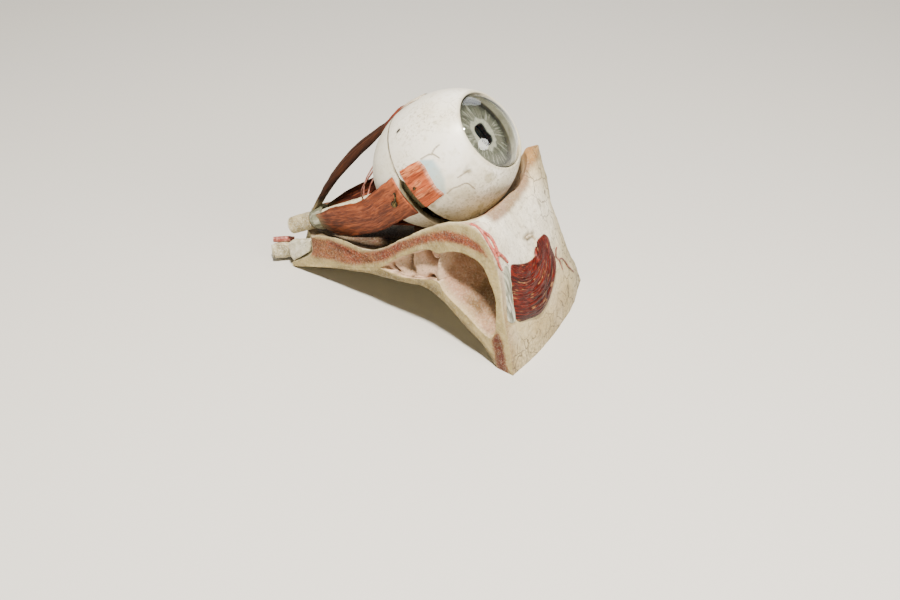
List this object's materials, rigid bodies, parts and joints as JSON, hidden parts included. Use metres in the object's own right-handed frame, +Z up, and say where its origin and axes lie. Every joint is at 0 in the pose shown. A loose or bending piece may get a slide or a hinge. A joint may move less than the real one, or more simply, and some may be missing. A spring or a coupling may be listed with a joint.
{
  "type": "eye anatomy model",
  "caption": "Enlarged right eye in a cut block of its orbit, with muscles and nerve, a lift-off front half, a vitreous body and a lens.",
  "frame": {"origin": "on the table, in the middle of the flat foot under the face", "axes": "+X is the front of the face, +Y the nose side, +Z up"},
  "size_m": [0.276, 0.164, 0.19],
  "materials": {
    "painted_bone": "painted papier-mache, aged and dusty",
    "face_muscle": "varnished paint with raised threads",
    "eye_muscle": "dull paint with streaks along the fibres",
    "tendon": "dull grey-green paint",
    "nerve": "dull cream paint",
    "vessel": "painted wound thread",
    "fat": "dull brown paint",
    "sclera": "varnished ivory paint with fine cracks",
    "choroid": "dull dark brown paint",
    "retina": "painted with fine vessels",
    "card": "bare olive pasteboard",
    "iris": "painted fibres",
    "cornea_glass": "clear blown glass",
    "clear_glass": "clear cast glass",
    "hook_wire": "dark tarnished wire"
  },
  "bodies": {
    "orbit": {"orbit_bone": "painted_bone", "face_muscle": "face_muscle", "face_tendon": "tendon", "face_nerve": "nerve", "face_artery": "vessel", "face_veins": "vessel", "nerve_stump": "nerve", "round_stump": "nerve", "artery_stump": "vessel", "fat_pad": "fat"},
    "eyeball": {"sclera_back": "sclera", "choroid_back": "choroid", "retina_back": "retina", "locating_collar": "card", "optic_nerve": "nerve", "nerve_sheath": "nerve", "tendon_ring": "tendon", "superior_rectus": "eye_muscle", "lateral_rectus": "eye_muscle", "inferior_rectus": "eye_muscle", "medial_rectus": "eye_muscle", "ciliary_nerve_1": "vessel", "ciliary_nerve_2": "vessel", "ciliary_nerve_3": "vessel", "ciliary_nerve_4": "vessel", "ciliary_nerve_5": "vessel", "hook_screw": "hook_wire"},
    "hook": {"hook": "hook_wire"},
    "front_segment": {"sclera_front": "sclera", "choroid_front": "choroid", "ciliary_ring": "choroid", "iris": "iris", "cornea": "cornea_glass", "superior_insertion": "eye_muscle", "lateral_insertion": "eye_muscle", "inferior_insertion": "eye_muscle", "medial_insertion": "eye_muscle", "catch_pin": "hook_wire"},
    "vitreous": {"vitreous_body": "clear_glass"},
    "lens": {"lens": "clear_glass"}
  },
  "joints": [
    {"name": "eyeball_lift", "type": "slide", "parent": "orbit", "child": "eyeball", "axis": [0, 0, 1], "range_m": [0, 0.08]},
    {"name": "front_lift", "type": "slide", "parent": "eyeball", "child": "front_segment", "axis": [0.5848, -0.1577, 0.7957], "range_m": [0, 0.09]},
    {"name": "vitreous_lift", "type": "slide", "parent": "eyeball", "child": "vitreous", "axis": [0.7491, -0.092, 0.6561], "range_m": [0, 0.027]},
    {"name": "lens_lift", "type": "slide", "parent": "vitreous", "child": "lens", "axis": [0.7491, -0.092, 0.6561], "range_m": [0, 0.009]},
    {"name": "hook_turn", "type": "hinge", "parent": "eyeball", "child": "hook", "pos_m": [-0.12897, -0.02946, 0.10831], "axis": [-0.2913, -0.9446, -0.1513], "range_deg": [-35, 90]}
  ],
  "couplings": [
    {"joint": "vitreous_lift", "follows": "front_lift", "ratio": 0.3},
    {"joint": "lens_lift", "follows": "front_lift", "ratio": 0.1}
  ]
}
